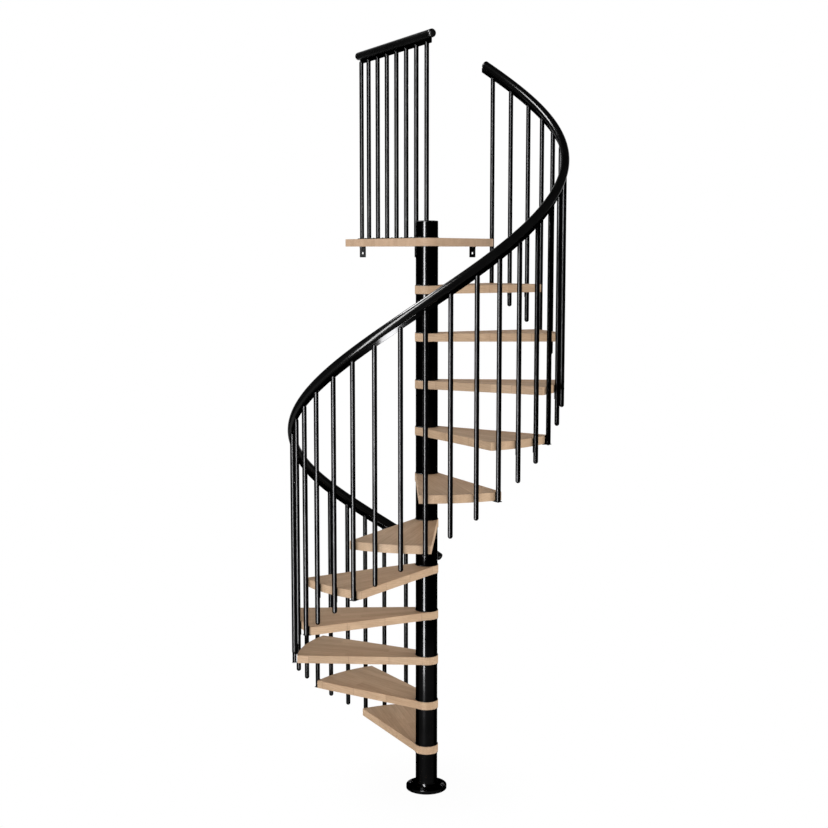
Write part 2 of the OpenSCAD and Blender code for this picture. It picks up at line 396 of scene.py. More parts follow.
def plate(w, h, t, r=3 * MM):
    """A flat plate with rounded corners and softened edges, on z = 0 to t."""
    edge = 0.6 * MM
    loops = []
    for inset, z in ((edge, 0), (0.3 * edge, 0.3 * edge), (0, edge),
                     (0, t - edge), (0.3 * edge, t - 0.3 * edge), (edge, t)):
        outline = rounded_rectangle(w - 2 * inset, h - 2 * inset, r - inset)
        loops.append([(x, y, z) for x, y in outline])
    return skinned(loops)


def holed_plate(w, h, t, hole_r, hole_y):
    """A flat plate with rounded corners and one round hole, on z = 0 to t."""
    outer = rounded_rectangle(w, h, 3 * MM, 7)
    n = len(outer)
    inner = [(hole_r * math.cos(turn), hole_y + hole_r * math.sin(turn))
             for turn in (math.atan2(y - hole_y, x) for x, y in outer)]
    verts = [(x, y, z) for z in (0, t) for loop in (outer, inner) for x, y in loop]
    faces = []
    for i in range(n):
        j = (i + 1) % n
        faces += [(i, j, n + j, n + i), (2 * n + j, 2 * n + i, 3 * n + i, 3 * n + j),
                  (j, i, 2 * n + i, 2 * n + j), (n + i, n + j, 3 * n + j, 3 * n + i)]
    return verts, faces


def pan_head(r, h, slot_r):
    """A round screw head with a socket, standing on z = 0."""
    side = [(0, 0), (r, 0), (r, 0.35 * h), (0.93 * r, 0.68 * h), (0.74 * r, 0.93 * h)]
    socket = [(slot_r + 0.3 * MM, h), (slot_r, 0.95 * h), (0.8 * slot_r, 0.45 * h), (0, 0.4 * h)]
    return lathe(side + socket, 20)


def hex_bolt(r, h, washer_r, washer_t):
    """A hexagon bolt head on a washer, standing on z = 0."""
    shape = Shape().add(*lathe([(0, 0), (washer_r - 0.4 * MM, 0), (washer_r, 0.4 * MM),
                                (washer_r, washer_t - 0.4 * MM), (washer_r - 0.4 * MM, washer_t),
                                (0, washer_t)], 28))
    loops = []
    for scale, z in ((0.97, washer_t), (1.0, washer_t + 0.4 * MM), (1.0, washer_t + 0.8 * h),
                     (0.86, washer_t + h)):
        loops.append([(scale * r * math.cos(t), scale * r * math.sin(t), z)
                      for t in (math.radians(60 * n) for n in range(6))])
    return shape.add(*skinned(loops))


# ---------------------------------------------------------------- materials

class Graph:
    """Short ways to add nodes to the node tree of a material or a world."""

    def __init__(self, tree):
        self.nodes, self.links = tree.nodes, tree.links

    def put(self, kind, inputs=None, **settings):
        """A new node. inputs are values or sockets by input name or number."""
        node = self.nodes.new(kind)
        for key, value in settings.items():
            setattr(node, key, value)
        for key, value in (inputs or {}).items():
            self.set(node.inputs[key], value)
        return node

    def set(self, socket, value):
        """Gives an input a value, or links a socket to it."""
        if isinstance(value, bpy.types.NodeSocket):
            self.links.new(value, socket)
        else:
            socket.default_value = value

    def math(self, operation, a, b=0.0):
        node = self.put("ShaderNodeMath", operation=operation)
        self.set(node.inputs[0], a)
        self.set(node.inputs[1], b)
        return node.outputs[0]

    def mix(self, factor, a, b):
        """A colour from a to b."""
        node = self.put("ShaderNodeMix", data_type="RGBA")
        for index, value in ((0, factor), (6, a), (7, b)):
            self.set(node.inputs[index], (*value, 1) if isinstance(value, tuple) else value)
        return node.outputs[2]

    def mix_shaders(self, factor, a, b, output):
        """Sends a mix of shaders a and b to the surface of the output node."""
        mixed = self.put("ShaderNodeMixShader", {0: factor, 1: a, 2: b}).outputs[0]
        self.set(self.nodes[output].inputs["Surface"], mixed)

    def ramp(self, value, low, high, out_low=0.0, out_high=1.0, smooth=True):
        """A value carried from the range low to high onto out_low to out_high, held at both ends."""
        node = self.put("ShaderNodeMapRange", interpolation_type="SMOOTHSTEP" if smooth else "LINEAR")
        for index, v in enumerate((value, low, high, out_low, out_high)):
            self.set(node.inputs[index], v)
        return node.outputs[0]

    def noise(self, vector, scale, detail=3.0, roughness=0.5, distortion=0.0):
        inputs = {"Vector": vector, "Scale": scale, "Detail": detail,
                  "Roughness": roughness, "Distortion": distortion}
        return self.put("ShaderNodeTexNoise", inputs).outputs[0]

    def stretched_place(self, vector, scale, rotation=(0, 0, 0)):
        inputs = {"Vector": vector, "Rotation": rotation, "Scale": scale}
        return self.put("ShaderNodeMapping", inputs).outputs[0]

    def near_end(self, share, length):
        """Distance to the nearer end of a cell, from the share of its length that is passed."""
        rest = self.math("SUBTRACT", 1.0, share)
        return self.math("MULTIPLY", self.math("MINIMUM", share, rest), length)

    def bump(self, shader, height, strength, distance):
        """Gives the shader a bump of uneven height."""
        inputs = {"Strength": strength, "Distance": distance, "Height": height}
        self.set(shader["Normal"], self.put("ShaderNodeBump", inputs).outputs[0])

    def random(self, a, b=0.0, c=0.0):
        """One random number for each set of three."""
        vector = self.put("ShaderNodeCombineXYZ", {0: a, 1: b, 2: c}).outputs[0]
        return self.put("ShaderNodeTexWhiteNoise", {"Vector": vector}, noise_dimensions="3D").outputs[0]


def new_material(name):
    """A node material, its graph, and the inputs of its shader."""
    material = bpy.data.materials.new(name)
    material.use_nodes = True
    graph = Graph(material.node_tree)
    return material, graph, graph.nodes["Principled BSDF"].inputs


# colours of beech, linear: three tones of the staves, then what lies over them
PALE_BEECH = (0.60, 0.43, 0.285)
BROWN_BEECH = (0.49, 0.345, 0.222)
ROSY_BEECH = (0.57, 0.385, 0.255)
CLOUD = (0.36, 0.235, 0.145)
RING_LINE = (0.33, 0.21, 0.13)
PORES = (0.30, 0.19, 0.115)
FLECKS = (0.22, 0.135, 0.08)
GLUE_LINE = (0.20, 0.12, 0.075)


def wood_material(name, painted_shade=1.0):
    """Stave-glued beech: staves along local X, finger-jointed end to end, under a satin lacquer. A shade below 1
    darkens all of it evenly as painted shade.
    """
    def with_painted_shade(r, green, b):
        """A tone darkened by the painted shade, which keeps its warmth."""
        return painted_shade * r, painted_shade ** 1.12 * green, painted_shade ** 0.9 * b

    material, g, shader = new_material(name)
    place = g.put("ShaderNodeTexCoord").outputs["Object"]
    x, y, z = g.put("ShaderNodeSeparateXYZ", {0: place}).outputs

    # staves side by side, each in lengths that start at random
    across = g.math("DIVIDE", y, STAVE)
    row = g.math("FLOOR", across)
    in_row = g.math("FRACT", across)
    # finger joints: the boundary between two lengths zigzags across the stave
    zigzag = g.math("PINGPONG", y, 2 * MM)
    along = g.math("ADD", x, g.math("MULTIPLY", zigzag, 5.0))
    along = g.math("ADD", along, g.math("MULTIPLY", g.random(row, 3.1), 0.6))
    length = g.math("DIVIDE", along, STAVE_L)
    piece = g.math("FLOOR", length)
    in_piece = g.math("FRACT", length)
    tone = g.random(row, piece, 1.7)
    hue = g.random(row, piece, 8.3)
    seam = g.ramp(g.near_end(in_row, STAVE), 0.15 * MM, 0.6 * MM, 1.0, 0.0)
    joint = g.ramp(g.near_end(in_piece, STAVE_L), 0.3 * MM, 1.4 * MM, 0.8, 0.0)
    line = g.math("MAXIMUM", seam, joint)

    # figure stretched along the stave, shifted from stave to stave
    shifted = g.put("ShaderNodeCombineXYZ", {
        0: g.math("ADD", x, g.math("MULTIPLY", tone, 4.0)),
        1: g.math("ADD", y, g.math("MULTIPLY", hue, 3.0)),
        2: z}).outputs[0]
    # growth rings lie aslant in the board, so that a side shows them lengthwise as the top does
    slant = (math.radians(60), 0, 0)
    stretched = g.stretched_place(shifted, (1.2, 14.0, 14.0), slant)
    broad = g.noise(stretched, 2.2, 3.0, 0.55, 0.6)
    rings = g.put("ShaderNodeTexWave", {
        "Vector": stretched, "Scale": 2.4, "Distortion": 5.5,
        "Detail": 3.0, "Detail Scale": 1.6, "Detail Roughness": 0.6},
        wave_type="BANDS", bands_direction="Y").outputs[0]
    fine = g.noise(g.stretched_place(shifted, (6.0, 110.0, 110.0)), 4.0, 2.0, 0.6)
    flecks = g.put("ShaderNodeTexVoronoi", {
        "Vector": g.stretched_place(shifted, (70.0, 520.0, 520.0)), "Scale": 1.0},
        feature="F1").outputs[0]

    colour = g.mix(tone, with_painted_shade(*PALE_BEECH), with_painted_shade(*BROWN_BEECH))
    colour = g.mix(g.math("MULTIPLY", hue, 0.35), colour, with_painted_shade(*ROSY_BEECH))
    colour = g.mix(g.ramp(broad, 0.35, 0.7, 0.0, 0.35), colour, CLOUD)
    colour = g.mix(g.ramp(rings, 0.55, 0.95, 0.0, 0.22), colour, RING_LINE)
    colour = g.mix(g.ramp(fine, 0.5, 0.75, 0.0, 0.25), colour, PORES)
    colour = g.mix(g.ramp(flecks, 0.0, 0.28, 0.35, 0.0), colour, FLECKS)
    colour = g.mix(g.math("MULTIPLY", line, 0.32), colour, GLUE_LINE)
    g.set(shader["Base Color"], colour)

    rough = g.ramp(fine, 0.2, 0.8, 0.50, 0.62, smooth=False)
    g.set(shader["Roughness"], g.math("ADD", rough, g.math("MULTIPLY", line, 0.08)))
    g.set(shader["Specular IOR Level"], 0.02)
    height = g.math("SUBTRACT", g.math("MULTIPLY", fine, 0.5), g.math("MULTIPLY", line, 0.8))
    g.bump(shader, height, 0.25, 0.25 * MM)
    return material


def black_material(name, base, rough, gloss, peel_scale, peel_height, metal=False):
    """Smooth black with faint orange peel, pale specks, and a roughness that varies in clouds.

    rough is its lowest and highest value. As metal it stands for blackened steel, whose
    reflection is dark out to the rim.
    """
    material, g, shader = new_material(name)
    place = g.put("ShaderNodeTexCoord").outputs["Object"]
    cloud = g.noise(place, 9.0, 4.0, 0.55)
    peel = g.noise(place, peel_scale, 2.0, 0.5)
    specks = g.noise(place, 160.0, 2.0, 0.6)
    colour = g.mix(g.ramp(cloud, 0.3, 0.7), base, tuple(1.5 * c for c in base))
    colour = g.mix(g.ramp(specks, 0.70, 0.82, 0.0, 0.25), colour, (0.012, 0.012, 0.0124))
    g.set(shader["Base Color"], colour)
    clouded = g.ramp(cloud, 0.25, 0.75, *rough, smooth=False)
    g.set(shader["Roughness"], g.math("ADD", clouded, g.math("MULTIPLY", specks, 0.006)))
    g.set(shader["Specular IOR Level"], gloss)
    if metal:
        g.set(shader["Metallic"], 1.0)
        g.set(shader["Specular Tint"], (0.0, 0.0, 0.0, 1))
    g.bump(shader, peel, peel_height, 0.1 * MM)
    return material


def steel_material(name, base, rough):
    """Drawn steel with fine lines along its length."""
    material, g, shader = new_material(name)
    place = g.put("ShaderNodeTexCoord").outputs["Object"]
    drawn = g.noise(g.stretched_place(place, (900.0, 900.0, 12.0)), 1.0, 3.0, 0.6)
    cloud = g.noise(place, 25.0, 4.0, 0.6)
    colour = g.mix(g.ramp(cloud, 0.3, 0.7), base, tuple(0.75 * c for c in base))
    g.set(shader["Base Color"], colour)
    g.set(shader["Roughness"], g.ramp(drawn, 0.2, 0.8, rough - 0.06, rough + 0.1))
    g.set(shader["Metallic"], 1.0)
    g.bump(shader, drawn, 0.15, 0.05 * MM)
    return material


STEEL_BLACK = (0.0040, 0.0040, 0.0041)
WOOD = wood_material("tread_wood")
# the landing's wood is the tread wood darkened by a tenth: painted shade, for a board that looks less lit
LANDING_WOOD_PAINTED_SHADE = wood_material("landing_wood_painted_shade", painted_shade=0.9)
BLACK = black_material("black_steel", STEEL_BLACK, (0.13, 0.16), 0.06, 60.0, 0.002, metal=True)
TUBE = black_material("black_tube", STEEL_BLACK, (0.27, 0.31), 0.06, 60.0, 0.002, metal=True)
PLASTIC = black_material("black_plastic", (0.0024, 0.0024, 0.0024), (0.17, 0.21), 0.045, 90.0, 0.01)
PLUG = black_material("black_plug", (0.0028, 0.0028, 0.0028), (0.25, 0.35), 0.07, 120.0, 0.05)
SCREW = steel_material("black_oxide_screw", (0.022, 0.022, 0.023), 0.35)
BARE = steel_material("bare_steel", (0.42, 0.42, 0.43), 0.35)


# ---------------------------------------------------------------- column

def floor_flange():
    """Round plate with a rounded rim and a filleted foot for the column, and its bolts."""
    rim = 2.5 * MM
    burr = 0.5 * MM
    fillet = FLANGE_TOP - FLANGE_T
    profile = [(0, 0), (FLANGE_R - burr, 0), (FLANGE_R, burr), (FLANGE_R, FLANGE_T - rim)]
    profile += [(FLANGE_R - rim + rim * math.cos(t), FLANGE_T - rim + rim * math.sin(t))
                for t in (math.radians(a) for a in (22.5, 45, 67.5, 90))]
    profile += [(COLUMN_R + fillet * (1 - math.sin(t)), FLANGE_T + fillet * (1 - math.cos(t)))
                for t in (math.radians(90 * s / 8) for s in range(9))]
    profile += [(0, FLANGE_TOP)]
    piece = finish_mesh("floor_flange_plate", *lathe(profile, 128), BLACK, "black_steel")
    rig.replaces(piece, "floor_flange")
    bolts = Shape()
    for b in range(FLANGE_BOLTS):
        angle = FLANGE_BOLT_FIRST + 360 / FLANGE_BOLTS * b
        place = polar(FLANGE_R - FLANGE_BOLT_INSET, angle, FLANGE_T)
        # every head stops at a turn of its own
        bolts.add(*hex_bolt(*FLOOR_BOLT), turned(20 + 37 * b, place))
    finish_mesh("floor_bolts", *bolts, SCREW, "black_steel")


def eased_disc(r, low, high, edge):
    """A solid disc or column with a small bevel at both ends."""
    return lathe([(0, low), (r - edge, low), (r, low + edge),
                  (r, high - edge), (r - edge, high), (0, high)], 96)


def column():
    """Spacer tubes with a ring at each end, over the bare inner pole, and the cap on top."""
    tubes, rings = Shape(), Shape()
    edge = 0.8 * MM
    for gap in range(TREADS + 2):
        low = FLANGE_TOP if gap == 0 else gap * RISER + RING_T
        high = COLUMN_TOP if gap > TREADS else (gap + 1) * RISER - TREAD_T - RING_T
        tubes.add(*eased_disc(COLUMN_R, low, high, edge))
    for k in range(1, TREADS + 2):
        for low in (k * RISER, k * RISER - TREAD_T - RING_T):
            rings.add(*eased_disc(RING_R_OUT, low, low + RING_T, edge))
    piece = finish_mesh("column_tubes", *tubes, BLACK, "black_steel")
    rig.replaces(piece, "spacer_tubes")
    piece = finish_mesh("column_rings", *rings, PLUG, "black_steel")
    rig.replaces(piece, "spacer_rings")

    # the cap starts with a fine shadow gap, then domes over: radius, share of its rise
    neck, gap_top = COLUMN_R - 1.2 * MM, COLUMN_TOP + 0.8 * MM
    dome = ((COLUMN_R, 0.4), (COLUMN_R - 0.8 * MM, 0.62), (COLUMN_R - 3 * MM, 0.8),
            (0.7 * COLUMN_R, 0.93), (0.35 * COLUMN_R, 0.985), (0, 1))
    profile = [(0, COLUMN_TOP), (neck, COLUMN_TOP), (neck, gap_top), (COLUMN_R, gap_top)]
    profile += [(r, COLUMN_TOP + share * (CAP_TOP - COLUMN_TOP)) for r, share in dome]
    piece = finish_mesh("column_plug", *lathe(profile, 96), PLUG, "black_steel")
    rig.replaces(piece, "column_cap")

    pole = frame["nodes"]["inner_pole"].data.materials
    pole.clear()
    pole.append(BARE)


# ---------------------------------------------------------------- treads and landing

def side_meets_eye(start, direction):
    """Where a line from a point inside the eye's circle leaves that circle."""
    b = start.dot(direction)
    return start + direction * (-b + math.sqrt(b * b - start.length_squared + EYE_R ** 2))


def arc(r, first, last, step=4.0):
    """Points along an arc about the origin, from one turn to another."""
    count = max(2, round(abs(last - first) / step))
    return [polar(r, first + (last - first) * n / count).to_2d() for n in range(count + 1)]


def treads():
    """Wedges with a round eye at the column and an arc for an outer edge, all alike."""
    start = Vector((0, EYE_R - EYE_BITE))
    corner = polar(EDGE_R, HALF_ANGLE).to_2d()
    meet = side_meets_eye(start, (corner - start).normalized())
    angle = math.degrees(math.atan2(meet.y, meet.x))
    outline = arc(EYE_R, angle, 360 - angle) + arc(EDGE_R, -HALF_ANGLE, HALF_ANGLE, 0.6)
    for k in range(1, TREADS + 1):
        verts, faces = prism([tuple(p) for p in outline], 0, TREAD_T)
        # each board is cut from another part of the wood, with its staves a little off the middle
        cut = (0.37 * k, (3 * k + 0.5) * STAVE + 5 * (k % 4) * MM, 0.05 * k)
        piece = finish_mesh(f"tread_{k:02d}_board", verts, faces, WOOD, "tread_wood",
                            bevel=BOARD_EASE, origin=cut,
                            matrix=turned(tread_mid(k), (0, 0, k * RISER - TREAD_T)))
        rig.replaces(piece, f"tread_{k:02d}")


def landing_lines():
    """The landing's left side as its foot and direction, and the direction across it."""
    a = math.radians(SIDE_ANGLE)
    along = Vector((-math.sin(a), math.cos(a)))
    across = Vector((math.cos(a), math.sin(a)))
    back_left = Vector((LANDING_LOW.x, LANDING_HIGH.y))
    foot = back_left - along * (LANDING_HIGH.y / along.y)
    return foot, along, across


def landing():
    """A board with a round eye, a slanted left side and a notch for the last baluster."""
    foot, along, _ = landing_lines()
    right, back = LANDING_HIGH.x, LANDING_HIGH.y
    post = polar(RING_R, LAST_POST).to_2d()
    front = Vector((right, post.y - NOTCH_FRONT))
    left_meet = side_meets_eye(foot, along)
    left_angle = math.degrees(math.atan2(left_meet.y, left_meet.x))
    # the front side runs from the right corner to where it touches the eye
    front_angle = math.degrees(math.atan2(front.y, front.x))
    touch_angle = front_angle - math.degrees(math.asin(EYE_R / front.length)) - 90
    notch_r = BALUSTER_R + NOTCH_GAP
    open_angle = math.degrees(math.acos((right - post.x) / notch_r))
    outline = arc(EYE_R, left_angle, touch_angle + 360) + [front]
    outline += [post + p for p in arc(notch_r, -open_angle, open_angle - 360, 15.0)]
    outline += [Vector((right, back)), Vector((LANDING_LOW.x, back))]
    verts, faces = prism([tuple(p) for p in outline], LANDING_LOW.z, LANDING_HIGH.z)
    # the landing board takes the copy of the wood with painted shade
    piece = finish_mesh("landing_board", verts, faces, LANDING_WOOD_PAINTED_SHADE, "tread_wood",
                        bevel=BOARD_EASE, origin=(7.3, 5.1, 0))
    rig.replaces(piece, "landing")


# ---------------------------------------------------------------- balusters and what holds them

def baluster(l, rounded_foot):
    """A tube with a domed plug in its top, and in its foot where that hangs free."""
    r = BALUSTER_R
    dome = [(r * math.cos(t), l - r + r * math.sin(t))
            for t in (math.radians(a) for a in range(0, 90, 12))]
    groove = [(r, l - r - 2.6 * MM), (r - 0.35 * MM, l - r - 2.3 * MM),
              (r - 0.35 * MM, l - r - 1.9 * MM), (r, l - r - 1.6 * MM)]
    upper = groove + dome + [(0, l)]
    if rounded_foot:
        lower = [(p, l - q) for p, q in reversed(upper)]
    else:
        lower = [(0, 0), (r - 0.4 * MM, 0), (r, 0.4 * MM)]
    return lathe(lower + upper, 28)


def balusters():
    """Three balusters to a tread, and the starter with its plate and screws on the floor."""
    for k in range(1, TREADS + 1):
        shape = Shape()
        for i in range((k - 1) * POSTS_PER_TREAD + 1, k * POSTS_PER_TREAD + 1):
            angle = post_angle(bar_at(i))
            shape.add(*baluster(post_head(bar_at(i)) - post_foot(i), not is_main(i)),
                      turned(angle, polar(RING_R, angle, post_foot(i))))
        piece = finish_mesh(f"balusters_{k:02d}_tubes", *shape, TUBE, "black_steel")
        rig.replaces(piece, f"balusters_{k:02d}")

    angle = post_angle(0)
    on_plate = polar(RING_R, angle, FOOT_T)
    tube = Shape().add(*baluster(post_head(0) - FOOT_T, False), turned(0, on_plate))
    piece = finish_mesh("starter_tube", *tube, TUBE, "black_steel")
    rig.replaces(piece, "starter_baluster")
    foot = Shape().add(*plate(STARTER_W, STARTER_W, FOOT_T), turned(angle, polar(RING_R, angle)))
    piece = finish_mesh("starter_plate", *foot, BLACK, "black_steel")
    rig.replaces(piece, "starter_foot")
    screws = Shape()
    for x in (-STARTER_SCREW_OUT, STARTER_SCREW_OUT):
        for y in (-STARTER_SCREW_OUT, STARTER_SCREW_OUT):
            screws.add(*pan_head(*PLATE_SCREW),
                       turned(angle, on_plate) @ Matrix.Translation((x, y, 0)))
    finish_mesh("starter_screws", *screws, SCREW, "black_steel")


# a flat plate's width, length and thickness, laid along y, z and x
OUTWARD = Matrix(((0, 0, 1, 0), (1, 0, 0, 0), (0, 1, 0, 0), (0, 0, 0, 1)))


def spacer_bar(w, h):
    """A bar between a tread's outer edge and a baluster, hollowed on both sides, with softened ends."""
    def outline(inset):
        half = w / 2 - inset
        ys = [half * n / 6 for n in range(-6, 7)]
        tread_r, tube_r = EDGE_R + FIT_GAP / 2, BALUSTER_R + FIT_GAP
        inner = [(math.sqrt(tread_r ** 2 - y * y) + inset, y) for y in ys]
        outer = [(RING_R - math.sqrt(tube_r ** 2 - y * y) - inset, y) for y in reversed(ys)]
        return inner + outer
    edge = 0.5 * MM
    return skinned([[(x, y, z) for x, y in outline(inset)]
                    for inset, z in ((edge, 0), (0, edge), (0, h - edge), (edge, h))])


def brackets():
    """A bar on each tread's outer edge and a foot under it, for the baluster that stands there."""
    steel, screws = Shape(), Shape()
    long = FOOT_BACK + PLATE_T + 2 * BALUSTER_R
    for k in range(1, TREADS + 1):
        base = turned(post_angle(k * POSTS_PER_TREAD), (0, 0, k * RISER - TREAD_T))
        steel.add(*spacer_bar(PLATE_W, TREAD_T), base)
        steel.add(*plate(long, FOOT_W, FOOT_T, 4 * MM),
                  base @ Matrix.Translation((EDGE_R - FOOT_BACK + long / 2, 0, -FOOT_T)))
        under = base @ Matrix.Translation((0, 0, -FOOT_T)) @ Matrix.Rotation(math.pi, 4, "X")
        for back in (12 * MM, 33 * MM):
            screws.add(*pan_head(*FOOT_SCREW), under @ Matrix.Translation((EDGE_R - back, 0, 0)))
        screws.add(*pan_head(*TUBE_SCREW), under @ Matrix.Translation((RING_R, 0, 0)))
    piece = finish_mesh("main_bracket_plates", *steel, BLACK, "black_steel")
    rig.replaces(piece, "main_brackets")
    finish_mesh("main_bracket_screws", *screws, SCREW, "black_steel")


def clips():
    """A bar on the tread's edge for each hanging baluster, which it reaches below the tread."""
    steel = Shape()
    for i in range(1, POSTS + 1):
        if not is_main(i):
            k = math.ceil(i / POSTS_PER_TREAD)
            steel.add(*spacer_bar(CLIP_W, TREAD_T + CLIP_DROP - CLIP_BELOW_TOP),
                      turned(post_angle(bar_at(i)), (0, 0, k * RISER - TREAD_T - CLIP_DROP)))
    piece = finish_mesh("baluster_clip_bars", *steel, BLACK, "black_steel")
    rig.replaces(piece, "baluster_clips")


# ---------------------------------------------------------------- handrail

def helix(i, u, v):
    """A point beside the handrail's centre line at post i: u outward, v upward in the section."""
    a = math.radians(post_angle(i))
    lean = v * math.sin(RAIL_SLOPE)
    return Vector(((RING_R + u) * math.cos(a) + lean * math.sin(a),
                   (RING_R + u) * math.sin(a) - lean * math.cos(a),
                   post_head(i) + RAIL_LIFT + v * math.cos(RAIL_SLOPE)))


def stations(first, last):
    """Post numbers from one end of the handrail or its band to the other."""
    return [first + (last - first) * n / RAIL_STATIONS for n in range(RAIL_STATIONS + 1)]


def rail_plug():
    """A domed plug with a fine step where it meets the rail."""
    neck = RAIL_R - 0.6 * MM
    dome = [(RAIL_R * math.cos(t), CAP_L * math.sin(t))
            for t in (math.radians(a) for a in range(8, 90, 8))]
    return lathe([(0, 0), (neck, 0), (neck, 0.7 * MM)] + dome + [(0, CAP_L)], 40)


def handrail():
    """A round helical rail on a flat band, with a plug at each end."""
    sides = 32
    rings = [[helix(i, RAIL_R * math.cos(t), RAIL_R * math.sin(t))
              for t in (2 * math.pi * q / sides for q in range(sides))]
             for i in stations(RAIL_FIRST, RAIL_LAST)]
    piece = finish_mesh("handrail_tube", *skinned(rings), PLASTIC, "black_plastic")
    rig.replaces(piece, "handrail")

    # the band's section, outward and up from the balusters' heads, eased on its lower edge
    high = RAIL_GAP - BAND_GAP
    ease = 0.6 * MM
    half = BAND_T / 2
    section = [(-half + ease, -BAND_OVER), (half - ease, -BAND_OVER), (half, -BAND_OVER + ease),
               (half, high), (-half, high), (-half, -BAND_OVER + ease)]
    rings = [[polar(RING_R + u, post_angle(i), post_head(i) + v) for u, v in section]
             for i in stations(BAND_FIRST, BAND_LAST)]
    piece = finish_mesh("handrail_strip", *skinned(rings), BLACK, "black_steel")
    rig.replaces(piece, "handrail_band")

    plugs = Shape()
    slope = math.degrees(RAIL_SLOPE)
    for i, tilt in ((RAIL_FIRST, 90 + slope), (RAIL_LAST, -90 + slope)):
        plugs.add(*rail_plug(), turned(post_angle(i), helix(i, 0, 0))
                  @ Matrix.Rotation(math.radians(tilt), 4, "X"))
    piece = finish_mesh("handrail_plugs", *plugs, PLUG, "black_plastic")
    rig.replaces(piece, "handrail_caps")


# ---------------------------------------------------------------- landing railing

def landing_railing():
    """Balusters on a foot bar along the landing's left side, a band and a straight handrail."""
    foot, along, across = landing_lines()
    foot = foot + across * LANDING_POST_INSET
    far = (LANDING_HIGH.y - LANDING_POST_BACK - foot.y) / along.y
    places = [far] + [far - LANDING_END_PITCH - n * LANDING_PITCH for n in range(LANDING_POSTS - 1)]
    low = LANDING_HIGH.z + LANDING_FOOT_T
    head = low + LANDING_POST_L

    def at(s, z):
        """A point s along the row of balusters."""
        p = foot + along * s
        return Vector((p.x, p.y, z))

    tubes = Shape()
    for s in places:
        tubes.add(*baluster(LANDING_POST_L, False), Matrix.Translation(at(s, low)))
    piece = finish_mesh("landing_tubes", *tubes, TUBE, "black_steel")
    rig.replaces(piece, "landing_balusters")

    near = places[-1] - BALUSTER_R
    end = far + LANDING_FOOT_PAST
    bar = Shape().add(*plate(LANDING_FOOT_W, end - near, LANDING_FOOT_T, 2 * MM),
                      turned(SIDE_ANGLE, at((near + end) / 2, LANDING_HIGH.z)))
    piece = finish_mesh("landing_foot_strip", *bar, BLACK, "black_steel")
    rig.replaces(piece, "landing_foot_bar")
    screws = Shape()
    for a, b in zip(places, places[1:]):
        screws.add(*pan_head(*BAR_SCREW), Matrix.Translation(at((a + b) / 2, low)))
    finish_mesh("landing_foot_screws", *screws, SCREW, "black_steel")

    start, stop = places[-1] - LANDING_RAIL_NEAR, far + LANDING_RAIL_FAR
    length = stop - start
    rail_z = head + RAIL_GAP + RAIL_R
    lengthwise = turned(SIDE_ANGLE) @ Matrix.Rotation(math.radians(-90), 4, "X")
    ease = 0.3 * MM
    section = [(0, 0), (RAIL_R - ease, 0), (RAIL_R, ease), (RAIL_R, length - ease),
               (RAIL_R - ease, length), (0, length)]
    rail = Shape().add(*lathe(section, 40), Matrix.Translation(at(start, rail_z)) @ lengthwise)
    piece = finish_mesh("landing_tube_rail", *rail, PLASTIC, "black_plastic")
    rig.replaces(piece, "landing_handrail")
    plugs = Shape().add(*rail_plug(), Matrix.Translation(at(stop, rail_z)) @ lengthwise)
    plugs.add(*rail_plug(), Matrix.Translation(at(start, rail_z)) @ lengthwise
              @ Matrix.Rotation(math.pi, 4, "X"))
    piece = finish_mesh("landing_plugs", *plugs, PLUG, "black_plastic")
    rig.replaces(piece, "landing_rail_caps")

    strip_h = BAND_OVER + RAIL_GAP - BAND_GAP
    strip_start, strip_stop = start + LANDING_BAND_SHORT, stop - RAIL_R
    middle = at((strip_start + strip_stop) / 2, head - BAND_OVER + strip_h / 2)
    strip = Shape().add(*plate(strip_stop - strip_start, strip_h, BAND_T, 1.2 * MM),
                        turned(SIDE_ANGLE, middle)
                        @ Matrix.Translation((-BAND_T / 2, 0, 0)) @ OUTWARD)
    piece = finish_mesh("landing_strip", *strip, BLACK, "black_steel")
    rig.replaces(piece, "landing_band")


def wall_brackets():
    """Three angles under the landing's back edge, each with a round hole."""
    steel, screws = Shape(), Shape()
    top, back = LANDING_LOW.z, BRACKETS_HIGH.y
    first, last = BRACKETS_LOW.x + ANGLE_W / 2, BRACKETS_HIGH.x - ANGLE_W / 2
    upright = Matrix(((1, 0, 0, 0), (0, 0, 1, 0), (0, 1, 0, 0), (0, 0, 0, 1)))
    lying = ANGLE_DEEP - ANGLE_T / 2
    for x in (first, (first + last) / 2, last):
        steel.add(*holed_plate(ANGLE_W, ANGLE_H, ANGLE_T, ANGLE_HOLE_R,
                               ANGLE_H / 2 - ANGLE_HOLE_DROP),
                  Matrix.Translation((x, back - ANGLE_T, top - ANGLE_H / 2)) @ upright)
        steel.add(*plate(ANGLE_W, lying, ANGLE_T),
                  Matrix.Translation((x, back - ANGLE_DEEP + lying / 2, top - ANGLE_T)))
        for inward in (18 * MM, 36 * MM):
            screws.add(*pan_head(*ANGLE_SCREW),
                       Matrix.Translation((x, back - inward, top - ANGLE_T))
                       @ Matrix.Rotation(math.pi, 4, "X"))
    piece = finish_mesh("wall_angle_plates", *steel, BLACK, "black_steel", bevel=0.5 * MM)
    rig.replaces(piece, "wall_brackets")
    finish_mesh("wall_angle_screws", *screws, SCREW, "black_steel")


floor_flange()
column()
treads()
landing()
balusters()
brackets()
clips()
handrail()
landing_railing()
wall_brackets()


# ---------------------------------------------------------------- camera, floor and light

FLOOR_R = 2.6
FLOOR_BELOW = 0.5 * MM
WHITE = (1, 1, 1, 1)

scene = bpy.context.scene
camera_data = bpy.data.cameras.new("camera")
camera_data.lens = 61.78
camera_data.sensor_width = 36
camera_data.clip_end = 200
camera = bpy.data.objects.new("camera", camera_data)
camera.location = (-0.0599, -6.630, 2.5835)
camera.rotation_euler = (math.radians(83.422), 0, 0)
scene.collection.objects.link(camera)
scene.camera = camera


